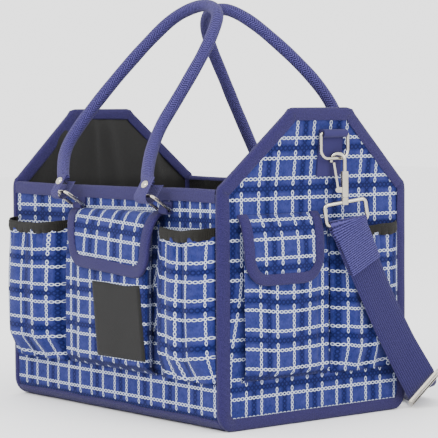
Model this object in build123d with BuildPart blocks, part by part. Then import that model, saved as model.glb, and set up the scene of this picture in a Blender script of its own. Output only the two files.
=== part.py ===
"""Fabric cleaning caddy: an open-topped trough between two raised end panels, with pockets all round,
two carrying handles on rings and a clip-on shoulder strap.

X runs along the caddy, -Y is its front, +Z is up. The origin is on the floor under the middle.
"""
import os
from math import cos, radians, sin, tan

from build123d import *

os.makedirs("parts", exist_ok=True)

# Body, in millimetres
LENGTH = 350.0        # over the outsides of the two end panels
WIDTH = 240.0         # over the outsides of the front and back panels
SIDE_TOP = 228.0      # top edge of the front and back panels
PEAK = 304.0          # top edge of the end panels
PEAK_HALF = 37.0      # half the flat length on top of an end panel
LEAN = 10.0           # how far an end panel leans out between SIDE_TOP and PEAK
CORNER = 18.0         # radius where front and back turn under the base
PANEL, LINING = 4.0, 1.0     # cloth over board, and the cloth inside it
TRIM = 1.2            # thickness of the binding tape
TRIM_WIDTH = 12.0
CLOTH = 2.0           # thickness of a pocket wall
HALF_X, HALF_Y = LENGTH / 2, WIDTH / 2
WALL = PANEL + LINING
IN_X, IN_Y = HALF_X - WALL, HALF_Y - WALL
FAR = 600.0           # longer than the caddy, for cutting tools

# Pockets
POCKET_FLOOR = 46.0
GATHER_TOP = 180.0    # top of a gathered pocket's cloth, under its elastic
ELASTIC = 8.0
FRONT_GATHER, END_GATHER = 16.0, 12.0     # how far the gathered pockets stand out
BELLOWS_TOP = 190.0
FLAP_HINGE_Z = 196.0
FLAP_CORNER = 18.0
FLAP = 2.4
FLAP_GAP = 0.4

# Handles and their rings
TAB_Z = 207.0         # height of the ring's bar in its tab
TAB_OUT = 4.0         # how far that bar stands off the panel
RING_WIRE = 1.6
RING_SPAN, RING_REACH = 20.0, 28.0
RING_ANGLE = 32.0     # above level, pointing away from the panel
HANDLE_LEAN = 36.0    # from upright, towards the other handle
HANDLE_R, CORE_R = 6.5, 4.2
SLEEVE_R, SLEEVE_BORE = 3.9, 2.0

# Shoulder strap hardware on the right end
D_BAR = (187.0, 14.0, 280.0)
D_SPAN, D_DROP, D_WIRE = 35.0, 24.4, 1.6
HOOK_AT = (191.6, 23.1)       # where the hook's swivel stands
HOOK_TURN = (-0.7071, -0.7071, 0)
BARREL_R, BARREL_BOTTOM, BARREL_TOP = 3.75, 218.0, 243.0
HOOK_WIRE, EYE_R, EYE_Z = 1.8, 6.5, 253.8
STUD_R, STUD_BORE = 1.95, 2.0
GATE_PIN, GATE_BORE = 1.0, 1.05
LOOP_ALONG = (0.3, 0.945, 0.144)
LOOP_Z, LOOP_SPAN, LOOP_DROP, LOOP_WIRE = 213.0, 44.0, 20.0, 2.0
STRAP_R = 3.2


def write(builder, label):
    builder.part.label = label
    export_step(builder.part, f"parts/{label}.step")


def write_both_ends(builder, label):
    """Writes a right-end piece, and the same piece turned round onto the left end."""
    write(builder, f"right_{label}")
    twin = builder.part.rotate(Axis.Z, 180)
    twin.label = f"left_{label}"
    export_step(twin, f"parts/left_{label}.step")


# ---------------------------------------------------------------- trough: front, base and back

def trough(depth, thickness):
    """The U-shaped layer that lies depth below the outside of the cloth."""
    height = 2 * SIDE_TOP
    inner = depth + thickness
    with BuildPart() as wall:
        with BuildSketch(Plane.YZ.offset(-IN_X)):
            with Locations((0, SIDE_TOP)):
                RectangleRounded(WIDTH - 2 * depth, height - 2 * depth, CORNER - depth)
                RectangleRounded(WIDTH - 2 * inner, height - 2 * inner, CORNER - inner, mode=Mode.SUBTRACT)
        extrude(amount=2 * IN_X)
        split(bisect_by=Plane.XY.offset(SIDE_TOP), keep=Keep.BOTTOM)
    return wall.part


FLAT_Y = HALF_Y - CORNER     # the base is flat as far as this
outer_trough = trough(0, PANEL)

with BuildPart() as front_panel:
    add(outer_trough)
    split(bisect_by=Plane.XZ.offset(FLAT_Y), keep=Keep.TOP)
write(front_panel, "front_panel")

with BuildPart() as back_panel:
    add(outer_trough)
    split(bisect_by=Plane.XZ.offset(-FLAT_Y), keep=Keep.BOTTOM)
write(back_panel, "back_panel")

with BuildPart() as base_panel:
    Box(2 * IN_X, 2 * FLAT_Y, PANEL, align=(Align.CENTER, Align.CENTER, Align.MIN))
write(base_panel, "base_panel")

# ---------------------------------------------------------------- end panels

PEAK_POINTS = [(-HALF_Y, 0), (HALF_Y, 0), (HALF_Y, SIDE_TOP),
               (PEAK_HALF, PEAK), (-PEAK_HALF, PEAK), (-HALF_Y, SIDE_TOP)]


def end_outline(grow=0.0):
    """Face of an end panel: six-sided, rounded where the trough is, grown or inset all round."""
    with BuildSketch(Plane.YZ) as outline:
        Polygon(*PEAK_POINTS, align=None)
        fillet(outline.vertices().group_by(Axis.Y)[0], CORNER)
        if grow:
            offset(amount=grow, kind=Kind.INTERSECTION)
    return outline.sketch


def leaning_layer(x_inner, x_outer, outline, hole=None, above=None):
    """Layer of an end panel between two distances from the middle, leaning out above SIDE_TOP."""
    top = PEAK + 20
    lean = LEAN * (top - SIDE_TOP) / (PEAK - SIDE_TOP)
    with BuildPart() as layer:
        with BuildSketch(Plane.XZ):
            Polygon((x_inner, 0), (x_outer, 0), (x_outer, SIDE_TOP), (x_outer + lean, top),
                    (x_inner + lean, top), (x_inner, SIDE_TOP), align=None)
        extrude(amount=WIDTH, both=True)
        extrude(outline, amount=LENGTH, mode=Mode.INTERSECT)
        if hole:
            extrude(hole, amount=LENGTH, mode=Mode.SUBTRACT)
        if above:
            split(bisect_by=Plane.XY.offset(above), keep=Keep.TOP)
    return layer.part


face = end_outline()
grown = end_outline(TRIM)
window = end_outline(-TRIM_WIDTH)

with BuildPart() as end_panel:
    add(leaning_layer(IN_X + LINING, HALF_X, face))
write_both_ends(end_panel, "end_panel")

with BuildPart() as end_binding:
    add(leaning_layer(HALF_X, HALF_X + TRIM, grown, hole=window))
    add(leaning_layer(IN_X, HALF_X, grown, hole=face))
    add(leaning_layer(IN_X - TRIM, IN_X, grown, hole=window, above=SIDE_TOP + 2 * TRIM))
write_both_ends(end_binding, "end_binding")

with BuildPart() as lining:
    add(trough(PANEL, LINING))
    right_lining = leaning_layer(IN_X, IN_X + LINING, face)
    add(right_lining)
    add(right_lining.rotate(Axis.Z, 180))
write(lining, "lining")

with BuildPart() as inner_pocket:
    with BuildSketch(Plane.YZ.offset(-IN_X)):
        with Locations((0, 130)):
            Rectangle(150, 150)
    extrude(amount=CLOTH)
write(inner_pocket, "left_inner_pocket")

# ---------------------------------------------------------------- bindings

for side, name in ((-1, "front"), (1, "back")):
    middle = side * (HALF_Y - WALL / 2)
    with BuildPart() as top_binding:
        with Locations((0, middle, SIDE_TOP + TRIM - TRIM_WIDTH)):
            Box(2 * (IN_X - TRIM), WALL + 2 * TRIM, TRIM_WIDTH, align=(Align.CENTER, Align.CENTER, Align.MIN))
            Box(2 * IN_X, WALL, TRIM_WIDTH - TRIM, align=(Align.CENTER, Align.CENTER, Align.MIN),
                mode=Mode.SUBTRACT)
    write(top_binding, f"{name}_top_binding")

BINDING_TOP = 10.0
with BuildPart() as base_tape:
    add(trough(-TRIM, TRIM))
    split(bisect_by=Plane.XY.offset(BINDING_TOP), keep=Keep.BOTTOM)
    split(bisect_by=Plane.XY, keep=Keep.TOP)

with BuildPart() as front_base_binding:
    add(base_tape.part)
    split(bisect_by=Plane.XZ.offset(FLAT_Y), keep=Keep.TOP)
write(front_base_binding, "front_base_binding")

with BuildPart() as back_base_binding:
    add(base_tape.part)
    split(bisect_by=Plane.XZ.offset(-FLAT_Y), keep=Keep.BOTTOM)
write(back_base_binding, "back_base_binding")

# ---------------------------------------------------------------- pockets


def bulge(start, end, depth, height):
    """Face between a straight line on a panel and the bow of cloth in front of it."""
    with BuildSketch(Plane.XY.offset(height)) as bow:
        with BuildLine():
            Line(start, end)
            SagittaArc(start, end, -depth)
        make_face()
    return bow.sketch


def gathered_pocket(start, end, depth, label, write_piece=write):
    """Pocket whose cloth is gathered into an elastic top, standing on the panel line start to end."""
    along = (Vector(*end) - Vector(*start)).normalized() * CLOTH
    room = bulge(Vector(*start) + along, Vector(*end) - along, depth - CLOTH, POCKET_FLOOR + CLOTH)
    with BuildPart() as bag:
        extrude(bulge(start, end, depth, POCKET_FLOOR), amount=GATHER_TOP - POCKET_FLOOR)
        extrude(room, amount=FAR, mode=Mode.SUBTRACT)
    write_piece(bag, f"{label}_pocket")
    with BuildPart() as band:
        extrude(bulge(start, end, depth, GATHER_TOP), amount=ELASTIC)
        extrude(room, amount=FAR, mode=Mode.SUBTRACT)
    write_piece(band, f"{label}_elastic")


gathered_pocket((-166, -HALF_Y), (-70, -HALF_Y), FRONT_GATHER, "front_left")
gathered_pocket((92, -HALF_Y), (168, -HALF_Y), FRONT_GATHER, "front_right")
gathered_pocket((HALF_X, 18), (HALF_X, 107.5), END_GATHER, "gathered", write_both_ends)

# Centre pocket of the front, standing off the panel on slanting sides, with a blank patch
CENTRE_DEPTH, CENTRE_FOOT, CENTRE_FACE = 15.0, (-68.0, 90.0), (-38.0, 76.0)
with BuildSketch(Plane.XY.offset(POCKET_FLOOR)) as centre_plan:
    Polygon((CENTRE_FOOT[0], -HALF_Y), (CENTRE_FACE[0], -HALF_Y - CENTRE_DEPTH),
            (CENTRE_FACE[1], -HALF_Y - CENTRE_DEPTH), (CENTRE_FOOT[1], -HALF_Y), align=None)
with BuildSketch(Plane.XY.offset(POCKET_FLOOR + CLOTH)) as centre_room:
    Polygon((CENTRE_FOOT[0] + 2 * CLOTH, -HALF_Y), (CENTRE_FACE[0] + CLOTH / 2, -HALF_Y - CENTRE_DEPTH + CLOTH),
            (CENTRE_FACE[1] - CLOTH / 2, -HALF_Y - CENTRE_DEPTH + CLOTH), (CENTRE_FOOT[1] - 2 * CLOTH, -HALF_Y),
            align=None)
with BuildPart() as front_center_pocket:
    extrude(centre_plan.sketch, amount=BELLOWS_TOP - POCKET_FLOOR)
    extrude(centre_room.sketch, amount=FAR, mode=Mode.SUBTRACT)
write(front_center_pocket, "front_center_pocket")

with BuildPart() as patch:
    with BuildSketch(Plane.XZ.offset(HALF_Y + CENTRE_DEPTH)):
        with Locations((35, 96)):
            RectangleRounded(78, 72, 1.5)
    extrude(amount=1.0)
write(patch, "front_patch")

# Box pocket under the flap of each end
END_Y0, END_Y1, END_DEPTH = -96.0, -4.5, 9.0
with BuildPart() as end_flap_pocket:
    with Locations((HALF_X, (END_Y0 + END_Y1) / 2, POCKET_FLOOR)):
        Box(END_DEPTH, END_Y1 - END_Y0, BELLOWS_TOP - POCKET_FLOOR, align=(Align.MIN, Align.CENTER, Align.MIN))
    with Locations((HALF_X, (END_Y0 + END_Y1) / 2, POCKET_FLOOR + CLOTH)):
        Box(END_DEPTH - CLOTH, END_Y1 - END_Y0 - 2 * CLOTH, FAR,
            align=(Align.MIN, Align.CENTER, Align.MIN), mode=Mode.SUBTRACT)
write_both_ends(end_flap_pocket, "flap_pocket")

# Zip pocket on the back, closed by a tape with the zip in it
ZIP_X, ZIP_DEPTH, ZIP_TOP, ZIP_Z = 165.0, 10.0, 190.0, 174.0
with BuildPart() as back_zip_pocket:
    with Locations((0, HALF_Y, POCKET_FLOOR)):
        Box(2 * ZIP_X, ZIP_DEPTH, ZIP_TOP - POCKET_FLOOR, align=(Align.CENTER, Align.MIN, Align.MIN))
    with Locations((0, HALF_Y, POCKET_FLOOR + CLOTH)):
        Box(2 * (ZIP_X - CLOTH), ZIP_DEPTH - CLOTH, ZIP_TOP - POCKET_FLOOR - 2 * CLOTH,
            align=(Align.CENTER, Align.MIN, Align.MIN), mode=Mode.SUBTRACT)
    with Locations((0, HALF_Y + ZIP_DEPTH, ZIP_Z)):
        Box(2 * (ZIP_X - 4), 2 * CLOTH, 16, mode=Mode.SUBTRACT)
    with Locations((0, HALF_Y, ZIP_TOP)):
        Box(2 * ZIP_X, ZIP_DEPTH + TRIM, TRIM, align=(Align.CENTER, Align.MIN, Align.MIN))
write(back_zip_pocket, "back_zip_pocket")

with BuildPart() as zip_tape:
    with Locations((0, HALF_Y + ZIP_DEPTH, ZIP_Z)):
        Box(2 * (ZIP_X - 4), CLOTH, 16, align=(Align.CENTER, Align.MAX, Align.CENTER))
        Box(2 * (ZIP_X - 8), 1.0, 4, align=(Align.CENTER, Align.MIN, Align.CENTER))
write(zip_tape, "zip_tape")

ZIP_FRONT = HALF_Y + ZIP_DEPTH + 1.4
SLIDER_X, PULL_Y = ZIP_X - 10, ZIP_FRONT + 3.6
with BuildPart() as zip_slider:
    with Locations((SLIDER_X, ZIP_FRONT, ZIP_Z)):
        Box(11, 2.4, 8, align=(Align.CENTER, Align.MIN, Align.CENTER))
    fillet(zip_slider.edges().filter_by(Axis.Y), 2.5)
    with BuildSketch(Plane.YZ.offset(SLIDER_X)):
        with Locations((PULL_Y, ZIP_Z)):
            Circle(2.8)
            Circle(1.7, mode=Mode.SUBTRACT)
    extrude(amount=0.8, both=True)
write(zip_slider, "zip_slider")

PULL_LONG, PULL_BAR, PULL_THICK = 34.0, 0.7, 1.4
with BuildPart() as zip_pull:
    with BuildSketch(Plane.XZ.offset(-PULL_Y)):
        with Locations((SLIDER_X, ZIP_Z + PULL_BAR - PULL_LONG / 2)):
            SlotOverall(PULL_LONG, 7, rotation=90)
        with Locations((SLIDER_X, ZIP_Z - PULL_BAR)):
            Rectangle(3.2, 5.4, align=(Align.CENTER, Align.MAX), mode=Mode.SUBTRACT)
    extrude(amount=PULL_THICK / 2, both=True)
write(zip_pull, "zip_pull")

# ---------------------------------------------------------------- flaps


def flap(hinge, width, height, stem, write_piece=write):
    """Cloth flap and its binding, hanging from the plane hinge, whose normal points outward."""
    back = hinge.offset(-FLAP / 2)
    with BuildSketch(back) as whole:
        with Locations((0, -FLAP_GAP)):
            whole_face = Rectangle(width, height, align=(Align.CENTER, Align.MAX))
        fillet(whole.vertices().group_by(Axis.Y)[0], FLAP_CORNER)
    with BuildSketch(back) as cloth:
        with Locations((0, -FLAP_GAP)):
            Rectangle(width - 2 * TRIM_WIDTH, height - TRIM_WIDTH, align=(Align.CENTER, Align.MAX))
        fillet(cloth.vertices().group_by(Axis.Y)[0], FLAP_CORNER - TRIM_WIDTH)
    with BuildPart() as cloth_piece:
        extrude(cloth.sketch, amount=FLAP)
    write_piece(cloth_piece, stem)
    with BuildPart() as binding:
        extrude(whole.sketch, amount=FLAP)
        extrude(cloth.sketch, amount=FLAP, mode=Mode.SUBTRACT)
    write_piece(binding, f"{stem}_binding")


FLAP_WIDTH, FLAP_HEIGHT, FLAP_X = 150.0, 56.0, 14.0
FRONT_HINGE_Y = -(HALF_Y + CENTRE_DEPTH + 2.0)
flap(Plane(origin=(FLAP_X, FRONT_HINGE_Y, FLAP_HINGE_Z), x_dir=(1, 0, 0), z_dir=(0, -1, 0)),
     FLAP_WIDTH, FLAP_HEIGHT, "front_flap")

END_FLAP_HEIGHT = 64.0
END_HINGE_X = HALF_X + END_DEPTH + 2.0
flap(Plane(origin=(END_HINGE_X, (END_Y0 + END_Y1) / 2, FLAP_HINGE_Z), x_dir=(0, 1, 0), z_dir=(1, 0, 0)),
     END_Y1 - END_Y0, END_FLAP_HEIGHT, "flap", write_both_ends)

# Sewn strips that carry the flaps out over their pockets
STRIP_LOW, STRIP = FLAP_HINGE_Z + 1.7, 2.0
with BuildPart() as front_flap_strip:
    with BuildSketch(Plane.YZ.offset(FLAP_X)):
        Polygon((-HALF_Y, STRIP_LOW + 2), (FRONT_HINGE_Y, STRIP_LOW), (FRONT_HINGE_Y, STRIP_LOW + STRIP),
                (-HALF_Y, STRIP_LOW + 2 + STRIP), align=None)
    extrude(amount=FLAP_WIDTH / 2, both=True)
write(front_flap_strip, "front_flap_strip")

with BuildPart() as end_flap_strip:
    with BuildSketch(Plane.XZ.offset(-(END_Y0 + END_Y1) / 2)):
        Polygon((HALF_X, STRIP_LOW + 2), (END_HINGE_X, STRIP_LOW), (END_HINGE_X, STRIP_LOW + STRIP),
                (HALF_X, STRIP_LOW + 2 + STRIP), align=None)
    extrude(amount=(END_Y1 - END_Y0) / 2, both=True)
write_both_ends(end_flap_strip, "flap_strip")

# ---------------------------------------------------------------- rings, tabs and handles


def round_section(path, radius):
    """Round section standing across the start of a path."""
    with BuildSketch(Plane(origin=path @ 0, z_dir=path % 0)) as section:
        Circle(radius)
    return section.sketch


def bend_radii(points, share):
    """Radius at each inner point of a route that leaves room for its neighbours."""
    radii = []
    for before, corner, after in zip(points, points[1:], points[2:]):
        arrive = Vector(*corner) - Vector(*before)
        leave = Vector(*after) - Vector(*corner)
        half_turn = radians(arrive.get_angle(leave) / 2)
        radii.append(share * min(arrive.length, leave.length) / tan(half_turn))
    return radii


FRONT_RINGS_X = (-47.0, 97.0)
BACK_RINGS_X = (-64.0, 80.0)
SLEEVE, RIVET_R = 13.0, 5.2
# Each handle in its own leaning plane: distance along X, and distance up from the rings' outer bars
FRONT_HANDLE = [(-47, 8), (-62, 24), (-86, 62), (-76, 114), (-44, 192), (-12, 232), (34, 236), (60, 198),
                (63, 140), (58, 72), (80, 24), (97, 8)]
BACK_HANDLE = [(-64, 8), (-63, 44), (-52, 110), (-38, 184), (-16, 228), (26, 230), (64, 196), (92, 150),
               (107, 104), (92, 40), (80, 8)]

for name, side, rings_x, route in (("front", -1, FRONT_RINGS_X, FRONT_HANDLE),
                                   ("back", 1, BACK_RINGS_X, BACK_HANDLE)):
    bar_y = side * (HALF_Y + TAB_OUT)
    out_y = side * cos(radians(RING_ANGLE))
    up = sin(radians(RING_ANGLE))
    end_y = bar_y + RING_REACH * out_y
    end_z = TAB_Z + RING_REACH * up
    for x, hand in zip(rings_x, ("left", "right")):
        with BuildPart() as ring:
            with BuildLine(Plane(origin=(x, bar_y, TAB_Z), x_dir=(1, 0, 0), z_dir=(0, -up, out_y))):
                half = RING_SPAN / 2
                loop = FilletPolyline((-half, 0), (half, 0), (half, RING_REACH), (-half, RING_REACH),
                                      radius=3.5, close=True)
            sweep(sections=round_section(loop, RING_WIRE), path=loop)
        write(ring, f"{name}_{hand}_ring")

    with BuildPart() as tabs:
        with Locations(*[(x, bar_y, TAB_Z) for x in rings_x]):
            Cylinder(SLEEVE_R, SLEEVE, rotation=(0, 90, 0))
        with Locations(*[(x, side * HALF_Y, TAB_Z) for x in rings_x]):
            Box(SLEEVE, 2 * TAB_OUT, 8.5, align=(Align.CENTER, Align.CENTER, Align.MIN))
        with Locations((0, side * (HALF_Y + 1.5 + FAR / 2), TAB_Z + 3.5)):
            Box(FAR, FAR, FAR, align=(Align.CENTER, Align.CENTER, Align.MIN), mode=Mode.SUBTRACT)
        with Locations((0, side * (HALF_Y - FAR / 2), TAB_Z)):
            Box(FAR, FAR, FAR, mode=Mode.SUBTRACT)
        with Locations(*[(x, bar_y, TAB_Z) for x in rings_x]):
            Cylinder(SLEEVE_BORE, 2 * SLEEVE, rotation=(0, 90, 0), mode=Mode.SUBTRACT)
    write(tabs, f"{name}_ring_tabs")

    rise = cos(radians(HANDLE_LEAN))
    lean_y = -side * sin(radians(HANDLE_LEAN))
    grip = Plane(origin=(0, end_y, end_z), x_dir=(1, 0, 0), z_dir=(0, -rise, lean_y))
    ends = [grip.location * Location((x, 0, 0)) for x in rings_x]
    with BuildPart() as handle:
        with BuildLine(grip):
            line = FilletPolyline(*route, radius=bend_radii(route, 0.45))
        sweep(sections=round_section(line, HANDLE_R), path=line)
        with Locations(*ends):
            Cylinder(SLEEVE_R + 0.7, SLEEVE, rotation=(0, 90, 0))
            Box(SLEEVE, 14, 8, align=(Align.CENTER, Align.MIN, Align.CENTER))
            Cylinder(SLEEVE_BORE, 2 * SLEEVE, rotation=(0, 90, 0), mode=Mode.SUBTRACT)
    write(handle, f"{name}_handle")

    with BuildPart() as rivets:
        with Locations(*[grip.location * Location((x, 10, -side * HANDLE_R)) for x in rings_x]):
            Cylinder(RIVET_R, 3.0)
        add(handle.part, mode=Mode.SUBTRACT)
    write(rivets, f"{name}_handle_rivets")

# ---------------------------------------------------------------- shoulder strap hardware


def panel_face(height):
    """Distance of an end panel's outer face from the middle at a height above SIDE_TOP."""
    return HALF_X + LEAN * (height - SIDE_TOP) / (PEAK - SIDE_TOP)


TAB_LOW, TAB_WIDTH = 238.0, 30.0
with BuildPart() as d_ring_tab:
    with BuildSketch(Plane.XZ.offset(-D_BAR[1])):
        Polygon((panel_face(TAB_LOW), TAB_LOW), (panel_face(TAB_LOW) + 2, TAB_LOW),
                (panel_face(D_BAR[2]) + 2, D_BAR[2]), (panel_face(D_BAR[2]), D_BAR[2]), align=None)
        with Locations((D_BAR[0], D_BAR[2])):
            Circle(SLEEVE_R)
            Rectangle(D_BAR[0] - panel_face(D_BAR[2]), SLEEVE_R, align=(Align.MAX, Align.MIN))
            Circle(SLEEVE_BORE, mode=Mode.SUBTRACT)
    extrude(amount=TAB_WIDTH / 2, both=True)
    add(leaning_layer(0, HALF_X, end_outline()), mode=Mode.SUBTRACT)
write_both_ends(d_ring_tab, "d_ring_tab")

with BuildPart() as d_ring:
    with BuildLine(Plane(origin=D_BAR, x_dir=(0, 1, 0), z_dir=(1, 0, 0))):
        half = D_SPAN / 2
        bow = FilletPolyline((-half, 0), (half, 0), (half, -D_DROP), (-half, -D_DROP),
                             radius=(2.0, 2.0, 9.0, 9.0), close=True)
    sweep(sections=round_section(bow, D_WIRE), path=bow)
write_both_ends(d_ring, "d_ring")

hook_plane = Plane(origin=(*HOOK_AT, 0), x_dir=HOOK_TURN, z_dir=Vector(*HOOK_TURN).cross(Vector(0, 0, 1)))
GATE_X, GATE_Z, GATE_LONG, GATE_TURN = 5.9, 225.0, 26.8, 81.0
HEAD_Z, HEAD_TALL, HEAD_R = 222.0, 3.0, 2.6
with BuildPart() as hook:
    with Locations((*HOOK_AT, BARREL_BOTTOM)):
        Cylinder(BARREL_R, BARREL_TOP - BARREL_BOTTOM, align=(Align.CENTER, Align.CENTER, Align.MIN))
    with BuildLine(hook_plane):
        Polyline((0, BARREL_TOP - 4), (0, EYE_Z))
        RadiusArc((0, EYE_Z), (2 * EYE_R, EYE_Z), EYE_R)
        Line((2 * EYE_R, EYE_Z), (2 * EYE_R, EYE_Z - 2))
    with BuildSketch(Plane(origin=(*HOOK_AT, BARREL_TOP - 4))):
        Circle(HOOK_WIRE)
    sweep()
    with BuildSketch(hook_plane):
        with Locations((GATE_X, GATE_Z)):
            Circle(2.6)
            Rectangle(GATE_X, 5.2, align=(Align.MAX, Align.CENTER))
    extrude(amount=3.2, both=True)
    with BuildSketch(hook_plane):
        with Locations((GATE_X - 2.4, GATE_Z - 4)):
            Rectangle(8, 14, align=(Align.MIN, Align.MIN))
    extrude(amount=1.9, both=True, mode=Mode.SUBTRACT)
    with BuildSketch(hook_plane):
        with Locations((GATE_X, GATE_Z)):
            Circle(GATE_PIN)
    extrude(amount=3.2, both=True)
    with Locations((*HOOK_AT, BARREL_BOTTOM)):
        Cylinder(STUD_BORE, HEAD_Z - BARREL_BOTTOM, align=(Align.CENTER, Align.CENTER, Align.MIN),
                 mode=Mode.SUBTRACT)
    with Locations((*HOOK_AT, HEAD_Z - 0.4)):
        Cylinder(HEAD_R + 0.4, HEAD_TALL + 0.8, align=(Align.CENTER, Align.CENTER, Align.MIN), mode=Mode.SUBTRACT)
write_both_ends(hook, "hook")

with BuildPart() as gate:
    with BuildSketch(hook_plane):
        with Locations((GATE_X, GATE_Z)):
            Rectangle(GATE_LONG, 2.0, rotation=GATE_TURN, align=(Align.MIN, Align.CENTER))
            Circle(2.0)
            Circle(GATE_BORE, mode=Mode.SUBTRACT)
    extrude(amount=1.5, both=True)
write_both_ends(gate, "hook_gate")

loop_normal = Vector(*LOOP_ALONG).cross(Vector(0, 0, 1))
loop_plane = Plane(origin=(*HOOK_AT, LOOP_Z), x_dir=LOOP_ALONG, z_dir=loop_normal)
with BuildPart() as swivel_loop:
    with BuildLine(loop_plane):
        half = LOOP_SPAN / 2
        frame = FilletPolyline((-half, 0), (half, 0), (half, -LOOP_DROP), (-half, -LOOP_DROP),
                               radius=4.0, close=True)
    sweep(sections=round_section(frame, LOOP_WIRE), path=frame)
    with Locations((*HOOK_AT, LOOP_Z - 2.5)):
        Cylinder(BARREL_R, BARREL_BOTTOM - LOOP_Z + 2.0, align=(Align.CENTER, Align.CENTER, Align.MIN))
    with Locations((*HOOK_AT, LOOP_Z)):
        Cylinder(STUD_R, HEAD_Z + HEAD_TALL - LOOP_Z, align=(Align.CENTER, Align.CENTER, Align.MIN))
    with Locations((*HOOK_AT, HEAD_Z)):
        Cylinder(HEAD_R, HEAD_TALL, align=(Align.CENTER, Align.CENTER, Align.MIN))
write_both_ends(swivel_loop, "swivel_loop")

# ---------------------------------------------------------------- shoulder strap

STRAP_ROUTE = [(192.6, 28, 186), (193.5, 62, 122), (193.2, 98, 64), (193, 124, 28), (176, 145, 18), (150, 168, 8),
               (112, 176, 4), (52, 171, 4), (-12, 179, 4), (-76, 174, 4), (-138, 181, 4), (-192, 166, 4),
               (-226, 126, 4), (-234, 76, 5), (-226, 26, 8), (-210, -12, 42), (-198, -26, 92), (-194, -29, 140),
               (-192.6, -28, 184)]
with BuildPart() as strap:
    with BuildLine():
        run = FilletPolyline(*STRAP_ROUTE, radius=bend_radii(STRAP_ROUTE, 0.45))
    sweep(sections=round_section(run, STRAP_R), path=run)
write(strap, "shoulder_strap")

# Slider just past the strap's lower bend, where the strap turns back under: a flat frame with a bar across it
SLIDER_WIDE, SLIDER_TALL = 46.0, 20.0
slider_run = (Vector(*STRAP_ROUTE[4]) - Vector(*STRAP_ROUTE[3])).normalized()
slider_width = Vector(0.4, 0.49, 0.777)
slider_width = (slider_width - slider_run * slider_width.dot(slider_run)).normalized()
slider_face = slider_run.cross(slider_width)
slider_at = (Vector(*STRAP_ROUTE[3]) + Vector(*STRAP_ROUTE[4])) / 2 + slider_face * (STRAP_R + 1.5)
with BuildPart() as strap_slider:
    with BuildSketch(Plane(origin=slider_at, x_dir=slider_width, z_dir=slider_face)):
        RectangleRounded(SLIDER_WIDE, SLIDER_TALL, 3.0)
        with Locations((0, 5.5), (0, -5.5)):
            Rectangle(SLIDER_WIDE - 6, 6.0, mode=Mode.SUBTRACT)
    extrude(amount=1.0, both=True)
write(strap_slider, "strap_slider")

print("strap radius", STRAP_R, "length", round(run.length, 1), "bends",
      [round(bend, 1) for bend in bend_radii(STRAP_ROUTE, 0.45)], strap_slider.part.bounding_box())
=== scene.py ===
"""Looks of the cleaning caddy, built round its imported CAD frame. Lengths here are in millimetres unless said."""
import math

import bmesh
import bpy
import numpy as np
from mathutils import Matrix, Vector


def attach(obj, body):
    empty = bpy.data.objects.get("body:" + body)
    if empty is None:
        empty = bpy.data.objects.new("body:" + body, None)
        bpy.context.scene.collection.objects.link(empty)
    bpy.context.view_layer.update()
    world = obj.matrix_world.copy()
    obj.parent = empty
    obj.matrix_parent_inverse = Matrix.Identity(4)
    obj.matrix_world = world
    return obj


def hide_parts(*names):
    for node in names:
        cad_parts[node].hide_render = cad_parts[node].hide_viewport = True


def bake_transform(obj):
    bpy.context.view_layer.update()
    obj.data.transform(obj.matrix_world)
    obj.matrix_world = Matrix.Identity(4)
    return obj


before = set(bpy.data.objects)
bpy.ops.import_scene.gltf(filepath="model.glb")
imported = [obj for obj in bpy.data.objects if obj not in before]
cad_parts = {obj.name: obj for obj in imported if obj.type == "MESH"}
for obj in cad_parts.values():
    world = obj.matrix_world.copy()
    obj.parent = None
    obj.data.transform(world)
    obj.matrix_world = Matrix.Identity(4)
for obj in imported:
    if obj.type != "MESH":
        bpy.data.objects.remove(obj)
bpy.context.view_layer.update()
MM = 0.001

# ------------------------------------------------------------------ the caddy's sizes, as in the CAD
HALF_X, HALF_Y, SIDE_TOP, PEAK, PEAK_HALF, LEAN = 175.0, 120.0, 228.0, 304.0, 37.0, 10.0
WALL, CORNER, TRIM = 5.0, 18.0, 1.2
CLOTH_THICK, POCKET_THICK = 2.0, 1.0
IN_X = HALF_X - WALL
POCKET_FLOOR = 46.0
PITCH_U, PITCH_V = 21.5, 19.3      # spacing of the plaid's white chains across and up the cloth
PLAID_S, PLAID_Z = -93.6, 198.9    # where a white chain runs up an end, and where one runs level on a wall
POCKET_TOP = 189.0                 # top of the pockets that have flaps
WELD = 0.00002                     # metres


# ------------------------------------------------------------------ mesh helpers

def ripple(a, b, seed=0.0):
    """Smooth repeatable unevenness between about -1 and 1."""
    return (np.sin(a * 1.0 + seed * 1.7 + 0.6 * np.sin(b * 0.9 + seed)) * 0.5
            + np.sin(b * 1.3 + a * 0.5 + seed * 2.3) * 0.3
            + np.sin(a * 2.1 - b * 1.7 + seed * 0.9) * 0.2)


def smooth(t):
    """Eases from 0 to 1 as t does, level at both ends."""
    t = np.clip(t, 0.0, 1.0)
    return t * t * (3 - 2 * t)


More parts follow.
